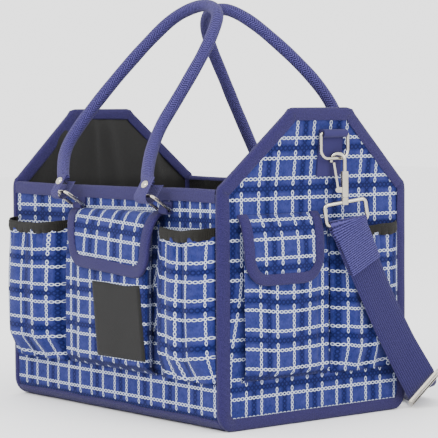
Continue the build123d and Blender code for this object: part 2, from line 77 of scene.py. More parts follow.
def build(name, grids, material, body, replaces=(), thickness=0.0):
    """Makes one object from grids of points (rows, columns, 3) in mm, each with UVs (rows, columns, 2)."""
    verts, faces, uvs = [], [], []
    for points, uv in grids:
        rows, cols = points.shape[:2]
        base = len(verts)
        verts.extend((points.reshape(-1, 3) * MM).tolist())
        for i in range(rows - 1):
            for j in range(cols - 1):
                quad = ((i, j), (i, j + 1), (i + 1, j + 1), (i + 1, j))
                faces.append([base + a * cols + b for a, b in quad])
                uvs.extend(tuple(uv[a, b]) for a, b in quad)
    mesh = bpy.data.meshes.new(name)
    mesh.from_pydata(verts, [], faces)
    layer = mesh.uv_layers.new(name="UVMap")
    layer.data.foreach_set("uv", np.array(uvs, np.float32).ravel())
    mesh.polygons.foreach_set("use_smooth", [True] * len(mesh.polygons))
    mesh.materials.append(material)
    obj = bpy.data.objects.new(name, mesh)
    bpy.context.scene.collection.objects.link(obj)
    weld(obj)
    if thickness:
        solid = obj.modifiers.new("Thickness", "SOLIDIFY")
        solid.thickness = thickness * MM
        solid.offset = -1.0
    if body:
        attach(obj, body)
    if replaces:
        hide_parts(*replaces)
    return obj


def weld(obj):
    """Joins the points that neighbouring grids or a closed grid's two edges share."""
    bm = bmesh.new()
    bm.from_mesh(obj.data)
    bmesh.ops.remove_doubles(bm, verts=bm.verts, dist=WELD)
    bm.to_mesh(obj.data)
    bm.free()


def lean(z):
    """How far an end panel stands out at height z: its raised middle leans outward."""
    return LEAN * np.clip((z - SIDE_TOP) / (PEAK - SIDE_TOP), 0, None)


def on_wall(side, s, z, d):
    """Point s to the right (seen from outside), z up and d out from a wall's outer face."""
    s, z, d = np.broadcast_arrays(np.asarray(s, float), np.asarray(z, float), np.asarray(d, float))
    if side == "front":
        return np.stack([s, -HALF_Y - d, z], -1)
    if side == "back":
        return np.stack([-s, HALF_Y + d, z], -1)
    if side == "right":
        return np.stack([HALF_X + lean(z) + d, s, z], -1)
    return np.stack([-HALF_X - lean(z) - d, -s, z], -1)


def plaid_uv(s, z, s0, z0, pitch_s, pitch_z):
    """Plaid repeats: a white chain at each whole number, a dark band below every even one."""
    s, z = np.broadcast_arrays(np.asarray(s, float), np.asarray(z, float))
    return np.stack([(s - s0) / pitch_s, (z - z0) / pitch_z], -1)


def long_wall_uv(s, z):
    """The cloth of the long walls, laid a little aslant and stretched unevenly along the top."""
    s, z = np.broadcast_arrays(np.asarray(s, float), np.asarray(z, float))
    high = smooth((z - 60) / 110)
    top = 8 + (s - 25) / 19.2 + 5.2e-5 * (s - 25) ** 2
    low = (s + 154.7) / 20.0 + 1
    return np.stack([low + (top - low) * high, (z - 204.5 - (s + 160) * 0.012 * high) / 18.4], -1)


def end_wall_uv(s, z):
    """The cloth of an end: wider repeats on the tall part than along the bottom."""
    s, z = np.broadcast_arrays(np.asarray(s, float), np.asarray(z, float))
    high = smooth((z - 50) / 100)
    top = (s - PLAID_S) / PITCH_U
    low = (s + 108.5) / 19.4
    return np.stack([low + (top - low) * high, (z - 199.2) / np.where(z > 199.2, 19.2, 18.8)], -1)


def mm_uv(a, b):
    """UVs in millimetres, for webbing and plain cloth."""
    a, b = np.broadcast_arrays(np.asarray(a, float), np.asarray(b, float))
    return np.stack([a, b], -1)


def tangents(path):
    t = np.gradient(path, axis=0)
    return t / np.linalg.norm(t, axis=1)[:, None]


def lengths(path):
    step = np.linalg.norm(np.diff(path, axis=0), axis=1)
    return np.concatenate([[0], np.cumsum(step)])


def resample(path, count):
    """The same line with points spaced evenly along it."""
    along = lengths(path)
    even = np.linspace(0, along[-1], count)
    return np.stack([np.interp(even, along, path[:, k]) for k in range(path.shape[1])], -1)


def spline(points):
    """Smooth line along a NURBS curve that has the given control points, in mm."""
    curve = bpy.data.curves.new("route", "CURVE")
    curve.dimensions = "3D"
    strand = curve.splines.new("NURBS")
    strand.points.add(len(points) - 1)
    for spot, point in zip(strand.points, points):
        spot.co = (*point, 1)
    strand.order_u = 3
    strand.use_endpoint_u = True
    strand.resolution_u = 16
    obj = bpy.data.objects.new("route", curve)
    bpy.context.scene.collection.objects.link(obj)
    mesh = bpy.data.meshes.new_from_object(obj)
    line = np.array([v.co for v in mesh.vertices], float)
    bpy.data.objects.remove(obj)
    bpy.data.meshes.remove(mesh)
    return line


def tube(path, radius, sides, start_normal):
    """Grids round a line, closed at both ends; radius has a value for each point of the line."""
    t = tangents(path)
    n = np.array(start_normal, float)
    angles = np.linspace(0, 2 * math.pi, sides + 1)
    ring = []
    for k in range(len(path)):
        n = n - t[k] * (n @ t[k])
        n = n / np.linalg.norm(n)
        b = np.cross(t[k], n)
        ring.append(path[k] + radius[k] * (np.cos(angles)[:, None] * n + np.sin(angles)[:, None] * b))
    points = np.array(ring)[:, ::-1]
    uv = mm_uv(np.linspace(0, 1, sides + 1)[None, :], lengths(path)[:, None])
    first, last = (np.repeat(path[end][None], sides + 1, 0) for end in (0, -1))
    return [(points, uv), (np.stack([first, points[0]]), np.stack([uv[0], uv[0]])),
            (np.stack([points[-1], last]), np.stack([uv[-1], uv[-1]]))]


def tape(path, inward, normal, width, half, seed, over=TRIM, wave=0.25, behind=None):
    """Binding folded over an edge: inward points into the panel, behind is its width on the hidden side."""
    behind = behind or width
    path, inward, normal = (np.asarray(v, float) for v in (path, inward, normal))
    inward = np.broadcast_to(inward, path.shape)
    normal = np.broadcast_to(normal, path.shape)
    section = [(half, width), (half + 0.25, width * 0.85), (half + 0.35, width * 0.5), (half + 0.1, 1.0),
               (half * 0.72, -over * 0.75), (0, -over), (-half * 0.72, -over * 0.75), (-half - 0.1, 1.0),
               (-half - 0.35, behind * 0.5), (-half - 0.25, behind * 0.85), (-half, behind), (-half + 1, behind - 0.4),
               (half - 1, width - 0.4), (half, width)]
    along = lengths(path)
    cols = []
    across = lengths(np.array([(a, b, 0) for a, b in section]))
    for k, (a, b) in enumerate(section):
        push = wave * ripple(along / 9, np.full(len(along), k * 1.3), seed) * (1 if b > 0 else 0.4)
        edge = wave * 1.3 * ripple(along / 23, np.full(len(along), 5.0), seed + 4) if b > width * 0.8 else 0 * along
        cols.append(path + normal * (a + np.sign(a) * push)[:, None] + inward * (b + edge)[:, None])
    points = np.stack(cols, 0)
    uv = mm_uv(across[:, None], along[None, :])
    return [(points, uv)]


# ------------------------------------------------------------------ material helpers

class Shade:
    """A material's node tree, with short names for the nodes used here."""

    def __init__(self, name, roughness=0.85, metallic=0.0, sheen=0.0, specular=0.3):
        self.material = bpy.data.materials.new(name)
        self.material.use_nodes = True
        self.tree = self.material.node_tree
        self.bsdf = self.tree.nodes["Principled BSDF"]
        self.bsdf.inputs["Roughness"].default_value = roughness
        self.bsdf.inputs["Metallic"].default_value = metallic
        self.bsdf.inputs["Specular IOR Level"].default_value = specular
        if sheen:
            self.bsdf.inputs["Sheen Weight"].default_value = sheen
            self.bsdf.inputs["Sheen Roughness"].default_value = 0.5

    def put(self, socket, value):
        if isinstance(value, bpy.types.NodeSocket):
            self.tree.links.new(value, socket)
        else:
            socket.default_value = value

    def node(self, kind, **inputs):
        made = self.tree.nodes.new(kind)
        for key, value in inputs.items():
            self.put(made.inputs[key.replace("_", " ")], value)
        return made

    def math(self, operation, *values, clamp=False):
        made = self.tree.nodes.new("ShaderNodeMath")
        made.operation = operation
        made.use_clamp = clamp
        for socket, value in zip(made.inputs, values):
            self.put(socket, value)
        return made.outputs[0]

    def add(self, a, b): return self.math("ADD", a, b)
    def sub(self, a, b): return self.math("SUBTRACT", a, b)
    def mul(self, a, b): return self.math("MULTIPLY", a, b)
    def fract(self, a): return self.math("FRACT", a)
    def sin(self, a): return self.math("SINE", a)
    def abs(self, a): return self.math("ABSOLUTE", a)

    def below(self, value, limit, soft):
        """1 where value is under limit, falling to 0 over soft."""
        made = self.tree.nodes.new("ShaderNodeMapRange")
        made.interpolation_type = "SMOOTHSTEP"
        self.put(made.inputs["Value"], value)
        made.inputs["From Min"].default_value = limit - soft
        made.inputs["From Max"].default_value = limit + soft
        made.inputs["To Min"].default_value = 1.0
        made.inputs["To Max"].default_value = 0.0
        return made.outputs[0]

    def uv(self):
        split = self.tree.nodes.new("ShaderNodeSeparateXYZ")
        self.tree.links.new(self.tree.nodes.new("ShaderNodeUVMap").outputs[0], split.inputs[0])
        return split.outputs[0], split.outputs[1]

    def place(self):
        return self.tree.nodes.new("ShaderNodeTexCoord").outputs["Object"]

    def vector(self, x, y, z=0.0):
        made = self.tree.nodes.new("ShaderNodeCombineXYZ")
        for socket, value in zip(made.inputs, (x, y, z)):
            self.put(socket, value)
        return made.outputs[0]

    def noise(self, vector, scale, detail=3.0):
        made = self.node("ShaderNodeTexNoise", Vector=vector, Scale=scale, Detail=detail)
        return made.outputs["Fac"]

    def mix(self, factor, a, b):
        made = self.tree.nodes.new("ShaderNodeMix")
        made.data_type = "RGBA"
        for socket, value in ((made.inputs[0], factor), (made.inputs[6], a), (made.inputs[7], b)):
            self.put(socket, value if isinstance(value, (bpy.types.NodeSocket, float)) else (*value, 1.0))
        return made.outputs[2]

    def finish(self, colour, height=None, depth=0.3, strength=0.6):
        self.put(self.bsdf.inputs["Base Color"], colour if isinstance(colour, bpy.types.NodeSocket) else (*colour, 1))
        if height is not None:
            bump = self.node("ShaderNodeBump", Height=height, Strength=strength)
            bump.inputs["Distance"].default_value = depth * MM
            self.put(self.bsdf.inputs["Normal"], bump.outputs[0])
        return self.material


BLUE, DEEP_BLUE, PALE_BLUE = (0.016, 0.024, 0.130), (0.006, 0.008, 0.058), (0.032, 0.038, 0.165)
BAND_BLUE, NAVY_CHAIN, WHITE_CHAIN = (0.004, 0.007, 0.066), (0.0015, 0.003, 0.036), (0.50, 0.55, 0.66)
BAND_HALF, NAVY_HALF = 4.2, 2.6     # half widths in mm of a dark band and of the navy chain in its middle
LINKS = 4                           # links of a chain between two crossings
TURN = 6.283                        # one wave of a sine, in radians


def ring_links(sh, across, along, half_width, link, thread):
    """Mask of a chain's oval links: across is mm from the chain's middle, along is mm beside it."""
    a = sh.math("DIVIDE", across, half_width)
    b = sh.mul(sh.sub(sh.fract(sh.math("DIVIDE", along, link)), 0.5), 2.0)
    r = sh.math("SQRT", sh.add(sh.mul(a, a), sh.mul(b, b)))
    ring = sh.below(sh.abs(sh.sub(r, 0.80)), thread, 0.14)
    return sh.mul(ring, sh.below(sh.abs(a), 1.15, 0.1))


def plaid_material(name):
    """Woven plaid: white chain lines both ways, with a darker chained band in every other gap."""
    sh = Shade(name, roughness=0.92, sheen=0.04, specular=0.10)
    u, v = sh.uv()
    mm_u, mm_v = sh.mul(u, PITCH_U), sh.mul(v, PITCH_V)
    fu, fv = sh.fract(u), sh.fract(v)
    odd_u = sh.below(sh.abs(sh.sub(sh.fract(sh.mul(u, 0.5)), 0.75)), 0.25, 0.001)
    odd_v = sh.below(sh.abs(sh.sub(sh.fract(sh.mul(v, 0.5)), 0.75)), 0.25, 0.001)
    to_mid_u = sh.mul(sh.abs(sh.sub(fu, 0.5)), PITCH_U)
    to_mid_v = sh.mul(sh.abs(sh.sub(fv, 0.5)), PITCH_V)
    to_line_u = sh.sub(PITCH_U / 2, to_mid_u)
    to_line_v = sh.sub(PITCH_V / 2, to_mid_v)
    threads = sh.noise(sh.vector(mm_u, sh.mul(mm_v, 0.45)), 0.9, 3.0)
    cloud = sh.noise(sh.vector(mm_u, mm_v, 3.0), 0.16, 2.0)
    ground = sh.mix(sh.math("MULTIPLY_ADD", sh.sub(threads, 0.5), 2.6, 0.5, clamp=True), BLUE, DEEP_BLUE)
    ground = sh.mix(sh.math("MULTIPLY_ADD", sh.sub(cloud, 0.5), 1.5, 0.3, clamp=True), ground, PALE_BLUE)
    band_u = sh.mul(odd_u, sh.below(to_mid_u, BAND_HALF, 0.7))
    band_v = sh.mul(odd_v, sh.below(to_mid_v, BAND_HALF, 0.7))
    band = sh.math("MAXIMUM", band_u, band_v)
    ground = sh.mix(sh.mul(band, 0.55), ground, BAND_BLUE)
    navy_u = sh.mul(odd_u, ring_links(sh, to_mid_u, mm_v, NAVY_HALF, PITCH_V / LINKS, 0.30))
    navy_v = sh.mul(odd_v, ring_links(sh, to_mid_v, mm_u, NAVY_HALF, PITCH_U / LINKS, 0.30))
    ground = sh.mix(sh.mul(sh.math("MAXIMUM", navy_u, navy_v), 0.85), ground, NAVY_CHAIN)
    white_u = ring_links(sh, to_line_u, sh.add(mm_v, PITCH_V / LINKS / 2), 1.75, PITCH_V / LINKS, 0.20)
    white_u = sh.mul(white_u, sh.sub(1.0, sh.mul(odd_v, sh.below(to_mid_v, 2.2, 0.3))))
    white_v = ring_links(sh, to_line_v, sh.add(mm_u, PITCH_U / LINKS / 2), 1.65, PITCH_U / LINKS, 0.20)
    white = sh.math("MAXIMUM", white_u, white_v)
    colour = sh.mix(sh.mul(white, 0.92), ground, WHITE_CHAIN)
    weave = sh.mul(sh.sin(sh.mul(mm_u, 9.0)), sh.sin(sh.mul(mm_v, 9.0)))
    height = sh.add(sh.mul(weave, 0.18), sh.add(sh.mul(white, 0.7), sh.mul(threads, 0.5)))
    return sh.finish(colour, height, depth=0.35, strength=0.7)


def webbing_material(name, colour, high, rib, herringbone=False, lengthwise=0.0):
    """Ribbed tape, its colour darker between the ribs and lighter on them as painted shade and a painted highlight: UV
    across in mm (0 to 1 round a rope), along in mm; rib is the mm from one rib to the next.
    """
    sh = Shade(name, roughness=0.85, sheen=0.06, specular=0.12)
    u, v = sh.uv()
    if herringbone:
        zig = sh.abs(sh.sub(sh.fract(sh.mul(u, 5.0)), 0.5))
        ribs = sh.sin(sh.add(sh.mul(v, TURN / rib), sh.mul(zig, 14.0)))
    elif lengthwise:
        ribs = sh.sin(sh.mul(u, TURN / lengthwise))
        ribs = sh.add(sh.mul(ribs, 0.7), sh.mul(sh.sin(sh.mul(v, TURN / rib)), 0.3))
    else:
        ribs = sh.sin(sh.mul(v, TURN / rib))
        ribs = sh.add(sh.mul(ribs, 0.8), sh.mul(sh.sin(sh.mul(u, TURN / 0.9)), 0.2))
    grain_and_painted_shade = sh.noise(sh.vector(sh.mul(u, 30.0 if herringbone else 1.0), v), 0.8, 4.0)
    height = sh.math("MULTIPLY_ADD", ribs, 0.5, 0.5)
    # colour mixes the grain's random tone with the rib height: painted shade in the hollows, a painted highlight on the
    # rib crests
    painted_rib_light_and_grain = sh.math("MULTIPLY_ADD", sh.sub(grain_and_painted_shade, 0.5), 1.8, sh.mul(height, 0.8), clamp=True)
    return sh.finish(sh.mix(painted_rib_light_and_grain, colour, high), sh.add(height, sh.mul(grain_and_painted_shade, 0.4)), depth=0.45, strength=0.8)


def metal_material(name):
    """Nickel plate, slightly smeared."""
    sh = Shade(name, roughness=0.24, metallic=1.0, specular=0.5)
    place = sh.place()
    smear = sh.noise(place, 90.0, 4.0)
    fine = sh.noise(place, 900.0, 2.0)
    sh.put(sh.bsdf.inputs["Roughness"], sh.math("MULTIPLY_ADD", smear, 0.22, 0.12))
    return sh.finish(sh.mix(smear, (0.56, 0.53, 0.45), (0.34, 0.31, 0.26)), fine, depth=0.05, strength=0.25)


def black_cloth(name, tone, high, rough=0.85):
    """Plain dark weave, from tone in the hollows of its grain to high on its raised threads: painted shade in the
    hollows and a painted highlight on the threads, over the grain's random tone.
    """
    sh = Shade(name, roughness=rough, sheen=0.02, specular=0.16)
    u, v = sh.uv()
    weave = sh.mul(sh.sin(sh.mul(u, 7.0)), sh.sin(sh.mul(v, 7.0)))
    grain_and_painted_shade = sh.noise(sh.vector(u, v), 0.35, 4.0)
    # the grain both raises the bump and lightens the colour: painted shade where it sinks, a painted highlight where it
    # stands up
    colour = sh.mix(grain_and_painted_shade, (tone, tone * 0.98, tone * 0.95), (high, high * 0.97, high * 0.92))
    return sh.finish(colour, sh.add(sh.mul(weave, 0.4), grain_and_painted_shade), depth=0.3, strength=0.5)


PLAID = plaid_material("plaid")
# each webbing and black cloth below gets two colours: the first carries painted shade for its hollows, the second is a
# painted highlight for its raised ribs and threads
BINDING = webbing_material("binding_tape", (0.006, 0.004, 0.034), (0.034, 0.026, 0.112), rib=1.1)
HANDLE = webbing_material("handle_webbing", (0.003, 0.002, 0.020), (0.072, 0.060, 0.215), rib=2.3, herringbone=True)
STRAP = webbing_material("strap_webbing", (0.005, 0.004, 0.030), (0.032, 0.026, 0.105), rib=1.6, lengthwise=2.4)
STRAP_END = webbing_material("strap_end_webbing", (0.003, 0.0025, 0.022), (0.070, 0.060, 0.215), rib=2.2)
TAB = webbing_material("tab_webbing", (0.004, 0.003, 0.026), (0.045, 0.038, 0.145), rib=1.8)
METAL = metal_material("nickel")
LINING = black_cloth("lining_cloth", 0.0035, 0.010, rough=0.48)
ELASTIC = webbing_material("elastic_tape", (0.003, 0.0026, 0.002), (0.010, 0.009, 0.007), rib=1.4)
PATCH = black_cloth("patch_cloth", 0.0030, 0.0055, rough=0.55)
BASE = black_cloth("base_cloth", 0.010, 0.030)
ZIP = black_cloth("zip_tape_cloth", 0.012, 0.022)

# ------------------------------------------------------------------ trough and end panels

arc = np.linspace(0, math.pi / 2, 8)
WALL_D = np.concatenate([-CORNER + CORNER * np.sin(arc), np.zeros(40)])
WALL_Z = np.concatenate([CORNER - CORNER * np.cos(arc), np.linspace(CORNER, SIDE_TOP, 41)[1:]])
WALL_LEN = lengths(np.stack([WALL_D, WALL_Z, 0 * WALL_Z], -1))
WALL_LEN = WALL_LEN - WALL_LEN[-1] + SIDE_TOP


# place, width, height and slant of each fold
CREASES = ((-62, 9, 1.6, 0.10), (-21, 6, 2.6, -0.06), (8, 12, 2.2, 0.05), (49, 7, 2.0, -0.12), (96, 10, 1.8, 0.08),
           (-118, 8, 2.0, 0.07))


def crease(s, z, seed):
    """Slack folds of the lining, running mostly up and down, standing in from the wall."""
    fold = 0 * s * z
    for place, wide, tall, slant in CREASES:
        fold = fold + tall * np.exp(-((s - place - seed * 3 - slant * (z - 150)) / wide) ** 2)
    return fold * smooth(z / 40)


def wall_sheet(side, depth, swell, seed, inside=False):
    """Cloth of a long wall and of the rounded edge under it, depth inside its outer face."""
    s = np.linspace(-IN_X, IN_X, 90)
    d, z = WALL_D[:, None], np.minimum(WALL_Z[:, None], SIDE_TOP - (2.5 if inside else 4))
    bump = swell * ripple(s[None, :] / 38, z / 33, seed) * smooth(z / 30) * smooth((IN_X - np.abs(s[None, :])) / 25)
    if inside:
        bump = bump - crease(s[None, :], z, seed) * smooth((SIDE_TOP - z) / 12)
    points = on_wall(side, s[None, :], z, d - depth + bump - swell * 0.5)
    uv = long_wall_uv(s[None, :], WALL_LEN[:, None]) if not inside else mm_uv(s[None, :], z)
    return (points[:, ::-1], uv[:, ::-1]) if inside else (points, uv)


for side in ("front", "back"):
    build(f"{side}_cloth", [wall_sheet(side, 0.0, 0.9, 1.0 if side == "front" else 2.0)], PLAID, "caddy",
          [f"{side}_panel"], thickness=CLOTH_THICK)


def end_half_width(z):
    """Half the width of an end panel at height z."""
    z = np.asarray(z, float)
    low = HALF_Y - CORNER + np.sqrt(np.clip(CORNER ** 2 - (CORNER - np.minimum(z, CORNER)) ** 2, 0, None))
    high = HALF_Y - (z - SIDE_TOP) * (HALF_Y - PEAK_HALF) / (PEAK - SIDE_TOP)
    return np.where(z < CORNER, low, np.where(z > SIDE_TOP, high, HALF_Y))


END_Z = np.concatenate([np.linspace(0, CORNER, 9), np.linspace(CORNER, SIDE_TOP, 38)[1:],
                        np.linspace(SIDE_TOP, PEAK, 18)[1:]])


def end_sheet(side, depth, swell, seed, inside=False):
    """Cloth of an end panel, depth inside its outer face."""
    z = END_Z[:, None]
    s = np.linspace(-1, 1, 61)[None, :] * end_half_width(z)
    edge = smooth((1 - np.abs(np.linspace(-1, 1, 61)))[None, :] * 5) * smooth(z / 25) * smooth((PEAK - z) / 25)
    bump = swell * ripple(s / 36, z / 41, seed) * edge
    if inside:
        bump = bump - crease(s, z, seed) * edge
    points = on_wall(side, s, z, bump - depth)
    uv = end_wall_uv(s, z) if not inside else mm_uv(s, z)
    return (points[:, ::-1], uv[:, ::-1]) if inside else (points, uv)


for side in ("right", "left"):
    build(f"{side}_end_cloth", [end_sheet(side, 0.0, 1.0, 3.0 if side == "right" else 5.0)], PLAID, "caddy",
          [f"{side}_end_panel"], thickness=CLOTH_THICK)

floor_x, floor_y = np.meshgrid(np.linspace(-IN_X, IN_X, 60), np.linspace(-103, 103, 40))
floor_z = WALL + 0.6 * (1 + ripple(floor_x / 40, floor_y / 33, 7))
lining_grids = [wall_sheet("front", WALL, 1.3, 11, inside=True), wall_sheet("back", WALL, 1.3, 12, inside=True),
                end_sheet("right", WALL, 1.4, 13, inside=True), end_sheet("left", WALL, 1.4, 14, inside=True),
                (np.stack([floor_x, floor_y, floor_z], -1), mm_uv(floor_x, floor_y))]
build("inner_lining", lining_grids, LINING, "caddy", ["lining"])

tau, up = np.meshgrid(np.linspace(0, 1, 40), np.linspace(0, 1, 30))
bag = 1.3 + 1.6 * np.sin(math.pi * tau) * smooth(up * 3) + 0.5 * ripple(tau * 9, up * 7, 3)
inner_s = -72 + 144 * tau
build("slack_inner_pocket", [(on_wall("left", inner_s, 56 + 146 * up, -WALL - bag)[:, ::-1],
                              mm_uv(inner_s, 146 * up)[:, ::-1])],
      LINING, "caddy", ["left_inner_pocket"], thickness=0.5)

# ------------------------------------------------------------------ bindings


def end_outline_path():
    """Edge of an end panel as (s, z), once round from the middle of its bottom edge."""
    a = np.linspace(0, math.pi / 2, 9)
    right = [(HALF_Y - CORNER + CORNER * math.sin(t), CORNER - CORNER * math.cos(t)) for t in a]
    pts = [(s, 0.0) for s in np.linspace(0, HALF_Y - CORNER, 16)[:-1]] + right
    pts += [(HALF_Y, z) for z in np.linspace(CORNER, SIDE_TOP - 6, 26)[1:]]
    slope = np.array([PEAK_HALF - HALF_Y, PEAK - SIDE_TOP])
    slope = slope / np.linalg.norm(slope)
    pts += [(HALF_Y - 0.5, SIDE_TOP - 1.5), (HALF_Y - 2, SIDE_TOP + 2.4)]
    pts += [(HALF_Y + slope[0] * k, SIDE_TOP + slope[1] * k) for k in np.linspace(8, 104, 16)]
    pts += [(PEAK_HALF + 2.5, PEAK - 1.2), (PEAK_HALF - 2.5, PEAK)]
    pts += [(s, PEAK) for s in np.linspace(PEAK_HALF - 8, 0, 5)]
    return np.array(pts + [(-s, z) for s, z in pts[::-1][1:]])


def end_binding(side, seed):
    """Binding round the edge of an end panel."""
    line = end_outline_path()
    step = np.gradient(line, axis=0)
    step = step / np.linalg.norm(step, axis=1)[:, None]
    inward2 = np.stack([-step[:, 1], step[:, 0]], -1)
    line[:, 1] = np.maximum(line[:, 1], TRIM)
    middle = on_wall(side, line[:, 0], line[:, 1], -WALL / 2)
    tip = on_wall(side, line[:, 0] + inward2[:, 0], line[:, 1] + inward2[:, 1], -WALL / 2)
    inward = tip - middle
    sign = 1.0 if side == "right" else -1.0
    normal = np.tile([sign, 0, 0], (len(line), 1)).astype(float)
    leaning = line[:, 1] > SIDE_TOP
    tilt = LEAN / (PEAK - SIDE_TOP)
    normal[leaning] = np.array([sign, 0, -tilt]) / math.hypot(1, tilt)
    return tape(middle, inward, normal, width=11.0, half=WALL / 2 + TRIM, seed=seed)


for side, seed in (("right", 1.0), ("left", 2.0)):
    build(f"{side}_end_tape", end_binding(side, seed), BINDING, "caddy", [f"{side}_end_binding"])

for side, sign, seed in (("front", -1, 3.0), ("back", 1, 4.0)):
    x = np.linspace(-IN_X + 0.5, IN_X - 0.5, 120)
    dip = 1.0 * ripple(x / 50, 0 * x, seed) - 1.0
    edge = np.stack([x, sign * (HALF_Y - WALL / 2) + 0.5 * ripple(x / 40, 0 * x, seed + 2), SIDE_TOP + dip], -1)
    grids = tape(edge, (0, 0, -1), (0, sign, 0), width=11.5, half=WALL / 2 + TRIM, seed=seed, behind=3.4)
    build(f"{side}_top_tape", grids, BINDING, "caddy", [f"{side}_top_binding"])
    # tape lying over the rounded lower edge
    a = np.linspace(0.35, math.pi / 2, 7)[:5]
    rows_d = -CORNER + (CORNER + 1.0) * np.sin(a)
    rows_z = np.maximum(CORNER - (CORNER + 1.0) * np.cos(a), 0.3)
    s = np.linspace(-IN_X, IN_X, 120)
    wavy = 0.9 * ripple(s / 17, 0 * s, seed + 9)[None, :] * np.linspace(0, 1, 5)[:, None]
    build(f"{side}_base_tape",
          [(on_wall(side, s[None, :], rows_z[:, None] + wavy, rows_d[:, None] + 0.3 * wavy),
            mm_uv(rows_z[:, None] * 1.3, s[None, :] + 0 * rows_z[:, None]))],
          BINDING, "caddy", [f"{side}_base_binding"], thickness=1.2)

# ------------------------------------------------------------------ gathered pockets


GATHERS, FOLDS = 9, 3.1     # small gathers under the elastic, and long folds below them, across one pocket


def gathered(name, side, s0, s1, depth, seed, top, replaces, peak, cloth, sag=3.0, band=9.5, plain=0.0):
    """Pocket gathered into a black elastic: cloth bulging from the wall, full of folds.

    peak is where it stands out most (0 to 1), band the elastic's height, plain the share at its left side without
    elastic, and cloth its plaid's (place across, place up, spacing across)."""
    rows, cols = 64, 130
    lean_in = math.log(0.5) / math.log(peak)

    def across(tau):
        """At tau, 0 to 1 from the left side: fade near the sides, bulge, and height of the top edge."""
        rim = smooth(tau * 12) * smooth((1 - tau) * 12)
        mid = 1 - np.abs(2 * tau ** lean_in - 1) ** 4.0
        return rim, mid, top - sag * np.sin(math.pi * tau) + 0.7 * ripple(tau * 12, 0 * tau, seed)

    def gathers(phase):
        return np.abs(np.sin(math.pi * (GATHERS * phase + seed * 0.3))) ** 0.6

    tau = np.linspace(0, 1, cols)[None, :]
    t = np.linspace(0, 1, rows)[:, None]
    rim, mid, ztop = across(tau)
    ztop = ztop + 9.0 * (1 - smooth((tau - plain + 0.05) / 0.05)) * (plain > 0)
    tall = top - POCKET_FLOOR
    z = POCKET_FLOOR - 1.0 + (ztop - POCKET_FLOOR + 1.0) * t
    belly = depth * mid ** 0.8 * (0.30 + 0.70 * smooth(t * 5)) * (1.0 - 0.16 * smooth((t - 0.5) * 2))
    near_top = np.exp(-((1 - t) * tall) / 24.0)
    near_floor = np.exp(-(t * tall) / 20.0)
    phase = tau + 0.018 * np.sin(9 * tau + seed) + 0.03 * (1 - t) * np.sin(5 * tau + seed)
    folds = (2.6 * (gathers(phase) - 0.6) * near_top
             + 1.3 * np.sin(2 * math.pi * FOLDS * phase + 1.4 * t + seed * 2) * (1 - 0.6 * near_floor)
             + 1.6 * np.sin(2 * math.pi * (4.3 * tau + 1.1 * t) + seed) * near_floor)
    d = 0.6 + belly + folds * rim * (0.3 + 0.7 * mid)
    pull = 2.2 * rim * np.sin(2 * math.pi * FOLDS * tau + 2.2 * t + seed) * (1 - near_top)
    s = s0 + (s1 - s0) * tau + pull
    points = on_wall(side, s, z, np.maximum(d, 0.3))
    close = on_wall(side, s[:1], z[:1] + 0.5, 0 * d[:1] + 0.2)
    points = np.concatenate([close, points])
    wide = (s1 - s0) * 1.15
    u = (tau - 0.5) * wide + (s0 + s1) / 2 + 0 * z
    slack = 5.0 * (1 - t) ** 3 * np.sin(math.pi * tau) + 1.2 * ripple(tau * 6, t * 4, seed)
    v = POCKET_FLOOR + tall * t + 0 * tau + slack
    skew = 9.0 * near_floor * (tau - 0.2) - 4.0 * near_top * np.sin(2 * math.pi * 2.0 * tau)
    uv = plaid_uv(np.concatenate([u[:1], u]) - np.concatenate([skew[:1], skew]), np.concatenate([v[:1] - 6, v]),
                  cloth[0], cloth[1], cloth[2], 17.95)
    build(name, [(points, uv)], PLAID, "caddy", [replaces[0]], thickness=POCKET_THICK)
    # elastic band along the pocket's top edge, its lower edge scalloped by the gathers
    tt = np.linspace(0, 1, 13)[:, None]
    body = smooth(tt * 3.2) * smooth((1 - tt) * 4.0)
    tau = plain + (1 - plain) * np.linspace(0, 1, cols)[None, :]
    rim, mid, level = across(tau)
    pucker = gathers(tau)
    lower = level - 3.0 - 1.2 * pucker * rim
    zz = lower + (level - 2.0 + band - lower) * tt
    dd = 0.84 * depth * mid ** 0.8 + 1.6 * rim + 1.0 * body + 0.5 * (pucker - 0.6) * (1 - tt) * rim - 0.8 * tt
    pts = on_wall(side, s0 + (s1 - s0) * tau + 0 * tt, zz, np.maximum(dd, 0.4))
    build(name.replace("cloth", "elastic"), [(pts, mm_uv(band * tt + 0 * tau, wide * tau + 0 * tt))],
          ELASTIC, "caddy", [replaces[1]], thickness=1.2)


gathered("front_left_pocket_cloth", "front", -168, -73, 20.0, 1.0, top=183, peak=0.36, cloth=(-159, 162, 24.0),
         replaces=("front_left_pocket", "front_left_elastic"))
gathered("front_right_pocket_cloth", "front", 84, 169, 14.5, 2.5, top=186, sag=4.0, plain=0.14, peak=0.52,
         cloth=(104, 162, 21.0), replaces=("front_right_pocket", "front_right_elastic"))
for side, seed in (("right", 4.0), ("left", 5.3)):
    gathered(f"{side}_gathered_pocket_cloth", side, 18, 109, 11.0, seed, top=184, peak=0.55, cloth=(PLAID_S, 164, 20.5),
             replaces=(f"{side}_gathered_pocket", f"{side}_gathered_elastic"))

# ------------------------------------------------------------------ box pockets


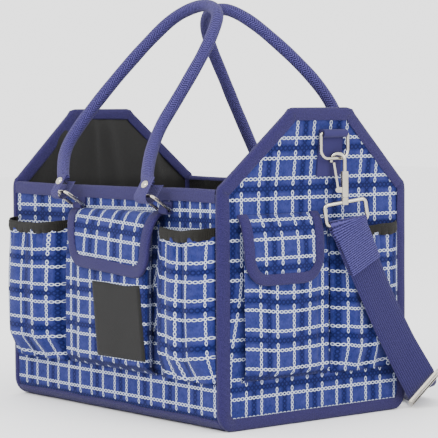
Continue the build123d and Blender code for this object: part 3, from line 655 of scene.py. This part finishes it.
def box_pocket(name, side, plan, floor, top, replaces, seed, cloth=(0.0, PLAID_Z), swell=1.0, close=0.0, slack=0.0):
    """Pocket with a face and two sides: plan gives (s, d) points from its left foot to its right foot."""
    plan = np.array(plan, float)
    line = resample(plan, 90)
    kernel = np.array([1, 2, 3, 2, 1]) / 9
    padded = np.concatenate([np.repeat(line[:1], 2, 0), line, np.repeat(line[-1:], 2, 0)])
    line = np.stack([np.convolve(padded[:, k], kernel, "valid") for k in (0, 1)], -1)
    t = np.linspace(0, 1, 50)[:, None]
    s, d = line[:, 0][None, :], line[:, 1][None, :]
    run = lengths(line)[None, :]
    out = smooth(d / max(2.0, plan[:, 1].max() * 0.8))
    z = floor + (top - floor) * t + 0 * s
    bump = swell * ripple(s / 17, z / 29, seed) * out * smooth(t * 6)
    shut = 1 - close * smooth((z - 140) / 45)
    points = on_wall(side, s + 0 * t, z, 0.4 + d * (0.25 + 0.75 * smooth(t * 18)) * shut + bump)
    foot = on_wall(side, s, z[:1] + 0.3, 0 * s + 0.2)
    points = np.concatenate([foot, points])
    u = run - run.max() / 2 + (plan[0, 0] + plan[-1, 0]) / 2
    v = z + slack * ripple(s / 30, z / 60, seed + 3) + slack * smooth((s - s.min()) / 50)
    uv = plaid_uv(np.concatenate([u, u + 0 * z]), np.concatenate([v[:1] - 10, v]), cloth[0], cloth[1], 20.5, 18.1)
    build(name, [(points, uv)], PLAID, "caddy", replaces, thickness=POCKET_THICK)


box_pocket("front_center_pocket_cloth", "front",
           [(-60, 0.4), (-69, 7.6), (-46, 8.8), (-42, 13.2), (20, 14.6), (79.5, 14.0), (72, 0.6)],
           POCKET_FLOOR, POCKET_TOP, ["front_center_pocket"], 3.0, cloth=(3.0, 96.0), close=0.42)
for side, seed in (("right", 6.0), ("left", 8.0)):
    box_pocket(f"{side}_flap_pocket_cloth", side, [(-87, 0.4), (-97, 8.0), (-5, 8.6), (-3, 5.2), (14, 5.2), (8, 0.4)],
               POCKET_FLOOR, POCKET_TOP, [f"{side}_flap_pocket"], seed, cloth=(PLAID_S, 168.0), swell=1.1, close=0.35,
               slack=2.5)
box_pocket("back_zip_pocket_cloth", "back", [(-165, 0.4), (-163, 8.7), (163, 8.7), (165, 0.4)], POCKET_FLOOR, 190,
           ["back_zip_pocket"], 9.0, swell=0.5)

# ------------------------------------------------------------------ patch

PATCH_S, PATCH_Z, PATCH_HALF_S, PATCH_HALF_Z, PATCH_TILT = 33.5, 96.0, 40.0, 37.0, 0.12
patch_tau, patch_t = np.meshgrid(np.linspace(-1, 1, 30), np.linspace(-1, 1, 30))
patch_s, patch_z = patch_tau * PATCH_HALF_S, patch_t * PATCH_HALF_Z
rim = np.minimum(PATCH_HALF_S - np.abs(patch_s), PATCH_HALF_Z - np.abs(patch_z))
proud = 15.0 + 1.2 * smooth(rim / 1.5) + 0.25 * ripple(patch_s / 14, patch_z / 17, 2)
patch = on_wall("front", patch_s - PATCH_TILT * patch_z + PATCH_S, patch_z + PATCH_Z, proud)
build("blank_patch", [(patch, mm_uv(patch_s, patch_z))], PATCH, "caddy", ["front_patch"])

# ------------------------------------------------------------------ flaps


def flap(name, side, reach, seam_z, top, low, drop, radius, seed, replaces, cloth, skew=0.0, hem=10.5):
    """Flap draping from its seam on the panel: top and low are its (left, right) ends, drop its two side lengths."""
    rows, cols = 56, 70
    t = np.linspace(0, 1, rows)[:, None]
    tau = np.linspace(0, 1, cols)[None, :]
    total = drop[0] + (drop[1] - drop[0]) * tau
    run = t * total
    left = top[0] + (low[0] - top[0]) * smooth(t * 1.2)
    right = top[1] + (low[1] - top[1]) * smooth(t * 1.2)
    from_low = (1 - t) * (drop[0] + drop[1]) / 2
    inset = radius - np.sqrt(np.clip(radius ** 2 - np.clip(radius - from_low, 0, radius) ** 2, 0, None))
    left, right = left + inset * 0.92, right - inset * 0.92
    s = left + (right - left) * tau
    rise = 1 - np.exp(-run / 13.0)
    d = 0.6 + (reach - 0.6) * rise
    drawn = np.cumsum(np.sqrt(np.clip(np.diff(run, axis=0) ** 2 - np.diff(d, axis=0) ** 2, 0.04, None)), axis=0)
    z = seam_z - np.concatenate([0 * run[:1], drawn])
    d = d + 1.0 * ripple(s / 24, run / 19, seed) * smooth(run / 25) + 0.8 * np.sin(math.pi * tau) * smooth(run / 30)
    points = on_wall(side, s, z, d)
    uv = plaid_uv(s, seam_z - run + skew * s, cloth[0], cloth[1], 20.5, 18.5)
    piece = build(f"{name}_cloth", [(points[::-1], uv[::-1])], PLAID, None, replaces[:2], thickness=1.6)
    # binding round the two sides and the lower edge
    path = resample(np.concatenate([points[:, 0], points[-1, 1:-1], points[::-1, -1]]), 170)
    along = tangents(path)
    for _ in range(6):
        along[1:-1] = (along[:-2] + along[1:-1] * 2 + along[2:]) / 4
    along /= np.linalg.norm(along, axis=1)[:, None]
    out = np.array({"front": (0, -1, 0), "right": (1, 0, 0), "left": (-1, 0, 0)}[side], float)
    slope = np.exp(-np.clip(seam_z - path[:, 2], 0, None) / 9.0)[:, None] * 0.9
    flat = out * (1 - slope) + np.array((0, 0, 1.0)) * slope
    normal = flat - along * np.sum(flat * along, 1)[:, None]
    normal /= np.linalg.norm(normal, axis=1)[:, None]
    inward = np.cross(normal, along)
    grids = tape(path - normal * 0.8, inward, normal, width=hem, half=1.9, over=1.0, seed=seed)
    trim = build(f"{name}_tape", grids, BINDING, None, replaces[2:])
    middle = sum(top) / 2
    for part in (piece, trim):
        start = Vector(on_wall(side, np.array(middle), np.array(seam_z - 1.0), np.array(3.0))) * MM
        end = Vector(on_wall(side, np.array(middle), np.array(seam_z - 14.0), np.array(reach))) * MM
        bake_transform(part)


flap("front_flap", "front", 17.6, 205.0, (-55, 92), (-45, 84), (65, 71), 22, 2.0,
     ["front_flap_strip", "front_flap", "front_flap_binding"], cloth=(1.0, 189.0), skew=0.055, hem=11.5)
for side, seed in (("right", 3.0), ("left", 7.0)):
    flap(f"{side}_flap", side, 11.4, 204.0, (-98, 1), (-97, 1), (69, 69), 27, seed,
         [f"{side}_flap_strip", f"{side}_flap", f"{side}_flap_binding"], cloth=(PLAID_S, 197.0), hem=10.0)

# ------------------------------------------------------------------ handles

RING_REACH, RING_ANGLE, TAB_OUT, TAB_Z, HANDLE_LEAN = 28.0, math.radians(32), 4.0, 207.0, math.radians(36)
ROPE_RADIUS, RIVET_RADIUS, RIVET_RISE, RIVET_UP = 6.3, 4.3, 2.4, 8.5
FOLDED = 6      # points of the rope at each end that lie inside the folded webbing
# the ropes' control points: x, and distance up the leaning plane from the ring's outer bar
FRONT_HANDLE = [(-47, 5), (-50, 12), (-62, 24), (-82, 52), (-80, 84), (-71, 118), (-59, 153), (-43, 190), (-24, 220),
                (4, 233), (28, 233), (50, 221), (58, 199), (62, 172), (62, 140), (61, 108), (59, 82), (66, 52),
                (82, 22), (94, 11), (97, 5)]
BACK_HANDLE = [(-64, 5), (-64, 20), (-62, 43), (-56, 76), (-50, 110), (-42, 147), (-37, 176), (-27, 208), (-8, 227),
               (20, 230), (38, 223), (56, 208), (74, 184), (88, 162), (101, 134), (106, 104), (98, 64), (86, 28),
               (80, 12), (80, 5)]


def handle_point(side, x, s):
    """Point of a handle's plane: s is the distance up from the ring's outer bar."""
    sign = -1 if side == "front" else 1
    y0 = sign * (HALF_Y + TAB_OUT + RING_REACH * math.cos(RING_ANGLE))
    z0 = TAB_Z + RING_REACH * math.sin(RING_ANGLE)
    return (x, y0 - sign * s * math.sin(HANDLE_LEAN), z0 + s * math.cos(HANDLE_LEAN))


for side, sign, route, seed in (("front", -1, FRONT_HANDLE, 1.0), ("back", 1, BACK_HANDLE, 2.0)):
    line = resample(spline([handle_point(side, x, s) for x, s in route]), 260)
    along = lengths(line)
    radius = ROPE_RADIUS + 0.12 * ripple(along / 7, along / 19, seed)
    up = np.array((0, -sign * math.sin(HANDLE_LEAN), math.cos(HANDLE_LEAN)))
    face = np.array((0, sign * math.cos(HANDLE_LEAN), math.sin(HANDLE_LEAN)))
    inner = slice(FOLDED, -FOLDED)
    grids = tube(line[inner], radius[inner], sides=28, start_normal=face)
    metal = []
    for x, wide in ((route[0][0], ROPE_RADIUS), (route[-1][0], 9.4)):
        centre = np.array(handle_point(side, x, 0.0))
        # webbing folded round the ring's outer bar, its two layers closed over the end of the rope
        turn = [(17 - k, 6.9 - 0.9 * smooth(np.array(k / 14.0))) for k in np.linspace(0, 14, 9)]
        turn += [(-2.0 - 5.5 * math.sin(a), 5.8 * math.cos(a)) for a in np.linspace(0.1, math.pi, 12)]
        back_layer = [(k, -6.1) for k in np.linspace(1, 17, 8)]
        profile = np.array([(float(a), float(b)) for a, b in turn] + back_layer)
        width = np.linspace(-wide, wide, 9)
        pillow = 0.5 * (1 - (width / wide) ** 4)
        pts = []
        for w, puff in zip(width, pillow):
            pts.append([centre + np.array((w, 0, 0)) + up * a + face * (b + np.sign(b) * puff) for a, b in profile])
        pts = np.array(pts)
        grids.append((pts, mm_uv((width[:, None] + wide) / (2 * wide), lengths(profile)[None, :])))
        dome = []
        for a in np.linspace(0, math.pi / 2, 8):
            r, lift = RIVET_RADIUS * math.cos(a), RIVET_RISE * math.sin(a)
            dome.append([centre + up * (RIVET_UP + r * math.sin(b)) + np.array((r * math.cos(b), 0, 0))
                         + face * (6.9 + lift)
                         for b in np.linspace(0, 2 * math.pi, 25)])
        dome = np.array(dome)
        metal.append((dome, mm_uv(np.zeros(dome.shape[:2]), np.zeros(dome.shape[:2]))))
    build(f"{side}_rope_handle", grids, HANDLE, f"{side}_handle", [f"{side}_handle"])
    build(f"{side}_domed_rivets", metal, METAL, f"{side}_handle", [f"{side}_handle_rivets"])

# ------------------------------------------------------------------ shoulder strap

ROUTE = [(192.6, 28, 189), (193.5, 62, 122), (193.2, 98, 64), (193.2, 122, 31), (190.5, 129, 24), (176, 145, 19),
         (150, 168, 9), (112, 176, 3), (52, 171, 3), (-12, 179, 3), (-76, 174, 3), (-138, 181, 3),
         (-192, 166, 3), (-226, 126, 3), (-234, 76, 4), (-226, 26, 8), (-210, -12, 42), (-198, -26, 92),
         (-194, -29, 140), (-192.6, -28, 188)]
STRAP_WIDTH, STRAP_THICK = 38.0, 1.8
HIDDEN = 6      # points of the strap's route at each end that only the doubled ends cover
# which way the strap's width points at each of the route's points
SIDEWAYS = [(0.1, 0.9, 0.35), (0.05, 0.88, 0.45), (0.1, 0.8, 0.58), (0.25, 0.6, 0.74), (0.4, 0.49, 0.777),
            (0.4, 0.49, 0.777), (0.35, 0.85, 0.3), (0, 1, 0.05), (0, 1, 0), (0, 1, 0), (0, 1, 0),
            (0.05, 1, 0), (-0.4, 0.9, 0), (-0.8, 0.6, 0), (-1, 0.1, 0.05), (-0.93, -0.36, 0.05),
            (-0.55, -0.83, 0.1), (-0.1, -1, 0), (0, -1, 0), (0, -1, 0)]


def ribbon(line, sideways, width, thick):
    """Flat webbing along a line, as points, UVs and its width's direction, which sideways gives roughly."""
    t = tangents(line)
    w = sideways - t * np.sum(sideways * t, 1)[:, None]
    w /= np.linalg.norm(w, axis=1)[:, None]
    n = np.cross(t, w)
    half, h = width / 2, thick / 2
    section = [(-half, -h * 0.5), (-half + 0.8, -h), (-half / 2, -h), (0, -h), (half / 2, -h), (half - 0.8, -h),
               (half, -h * 0.5), (half, h * 0.5), (half - 0.8, h), (half / 2, h), (0, h), (-half / 2, h),
               (-half + 0.8, h), (-half, h * 0.5), (-half, -h * 0.5)]
    along = lengths(line)
    rows = np.array([line + w * a + n * b for a, b in section])
    across = np.array([a for a, _ in section])
    return rows, mm_uv(across[:, None], along[None, :]), w


route_line = resample(spline(ROUTE), 300)
mark = lengths(np.array(ROUTE, float))
mark = mark / mark[-1]
here = lengths(route_line) / lengths(route_line)[-1]
side_vectors = np.stack([np.interp(here, mark, np.array(SIDEWAYS, float)[:, k]) for k in range(3)], -1)
rows, strap_uv, strap_w = ribbon(route_line, side_vectors, STRAP_WIDTH, STRAP_THICK)
rows[..., 2] = np.maximum(rows[..., 2], 0.1)
rows, strap_uv = rows[:, HIDDEN:-HIDDEN], strap_uv[:, HIDDEN:-HIDDEN]
strap = build("webbing_strap", [(rows, strap_uv)], STRAP, "caddy", ["shoulder_strap"])

# doubled ends of the strap, folded over the bottom bars of the swivel loops
for side, sign, first, body in (("right", 1, 0, "right_strap_end"), ("left", -1, -1, "left_strap_end")):
    line = route_line if sign > 0 else route_line[::-1]
    reach = lengths(line)
    outer_n = np.array((sign, 0, 0), float)
    long_end = 46.0 if sign > 0 else 40.0
    count = int(np.searchsorted(reach, long_end))
    bar = np.array((192.5 * sign, 25.8 * sign, 193.3))
    bar_dir = np.array((0.3 * sign, 0.945 * sign, 0.144))
    bar_dir /= np.linalg.norm(bar_dir)
    down = line[:count]
    w0 = (strap_w if sign > 0 else strap_w[::-1])[:count]
    n0 = np.cross(tangents(down), w0)
    n0 = n0 * np.sign(n0 @ outer_n)[:, None]
    front_layer = (down + n0 * 3.0)[::-1]
    out_n = np.cross(bar_dir, (0, 0, 1.0))
    out_n = out_n * np.sign(out_n @ outer_n) / np.linalg.norm(out_n)
    over_bar = np.array([bar + 3.6 * (math.cos(a) * out_n + math.sin(a) * np.array((0, 0, 1.0)))
                         for a in np.linspace(0.0, math.pi, 9)])
    back_layer = (down - n0 * 2.4)[3:]
    fold = np.concatenate([front_layer[:-3], over_bar, back_layer])
    w0 = w0 * np.sign(w0 @ bar_dir)[:, None]
    side_w = np.concatenate([w0[::-1][:-3], np.tile(bar_dir, (9, 1)), w0[3:]])
    smooth_fold = fold.copy()
    for _ in range(2):
        smooth_fold[1:-1] = (smooth_fold[:-2] + 2 * smooth_fold[1:-1] + smooth_fold[2:]) / 4
    fold_rows, fold_uv, _ = ribbon(smooth_fold, side_w, STRAP_WIDTH + 0.6, 1.7)
    piece = build(f"{side}_doubled_strap_end", [(fold_rows, fold_uv)], STRAP_END, None)
    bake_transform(piece)

# ------------------------------------------------------------------ metal and webbing that keep their CAD shape

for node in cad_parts.values():
    name = node.name
    if name.endswith(("_ring", "swivel_loop", "_hook", "hook_gate", "rivets", "slider", "zip_pull")):
        material = METAL
    elif name.endswith(("ring_tabs", "ring_tab")):
        material = TAB
    elif name == "zip_tape":
        material = ZIP
    elif name == "base_panel":
        material = BASE
    else:
        continue
    node.data.materials.clear()
    node.data.materials.append(material)

# ------------------------------------------------------------------ floor, light and camera

FLOOR_HALF, SKY = 6.0, 2.4      # metres, and the strength of the even white light all round
plane = bpy.data.meshes.new("floor")
corners = [(x * FLOOR_HALF, y * FLOOR_HALF, 0) for x, y in ((-1, -1), (1, -1), (1, 1), (-1, 1))]
plane.from_pydata(corners, [], [(0, 1, 2, 3)])
floor = bpy.data.objects.new("floor", plane)
bpy.context.scene.collection.objects.link(floor)
pale = Shade("pale_floor", roughness=0.9)
floor.data.materials.append(pale.finish((0.93, 0.93, 0.93)))
floor.location.z = -0.0005

world = bpy.data.worlds.new("studio")
world.use_nodes = True
world.node_tree.nodes["Background"].inputs[0].default_value = (1, 1, 1, 1)
world.node_tree.nodes["Background"].inputs[1].default_value = SKY
bpy.context.scene.world = world


def area_light(name, place, target, energy, width):
    light = bpy.data.lights.new(name, "AREA")
    light.energy = energy
    light.size = width
    obj = bpy.data.objects.new(name, light)
    obj.location = place
    obj.rotation_mode = "QUATERNION"
    obj.rotation_quaternion = (Vector(target) - Vector(place)).to_track_quat("-Z", "Y")
    bpy.context.scene.collection.objects.link(obj)


area_light("key", (0.6, -2.0, 1.6), (0, 0, 0.15), 40, 0.9)
area_light("fill", (2.2, 0.2, 1.2), (0, 0, 0.15), 22, 1.0)

camera_data = bpy.data.cameras.new("camera")
camera_data.lens = 159.3
camera_data.sensor_width = 36.0
camera_data.clip_end = 50
camera = bpy.data.objects.new("camera", camera_data)
bpy.context.scene.collection.objects.link(camera)
azimuth, elevation, roll = math.radians(50.99), math.radians(3.21), math.radians(-0.37)
back = Vector((math.sin(azimuth) * math.cos(elevation), -math.cos(azimuth) * math.cos(elevation),
               math.sin(elevation)))
right = (-back).cross(Vector((0, 0, 1))).normalized()
upward = right.cross(-back)
r2 = right * math.cos(roll) + upward * math.sin(roll)
u2 = upward * math.cos(roll) - right * math.sin(roll)
camera.matrix_world = Matrix.Translation((1.5770, -1.2564, 0.3029)) @ Matrix((r2, u2, back)).transposed().to_4x4()
bpy.context.scene.camera = camera
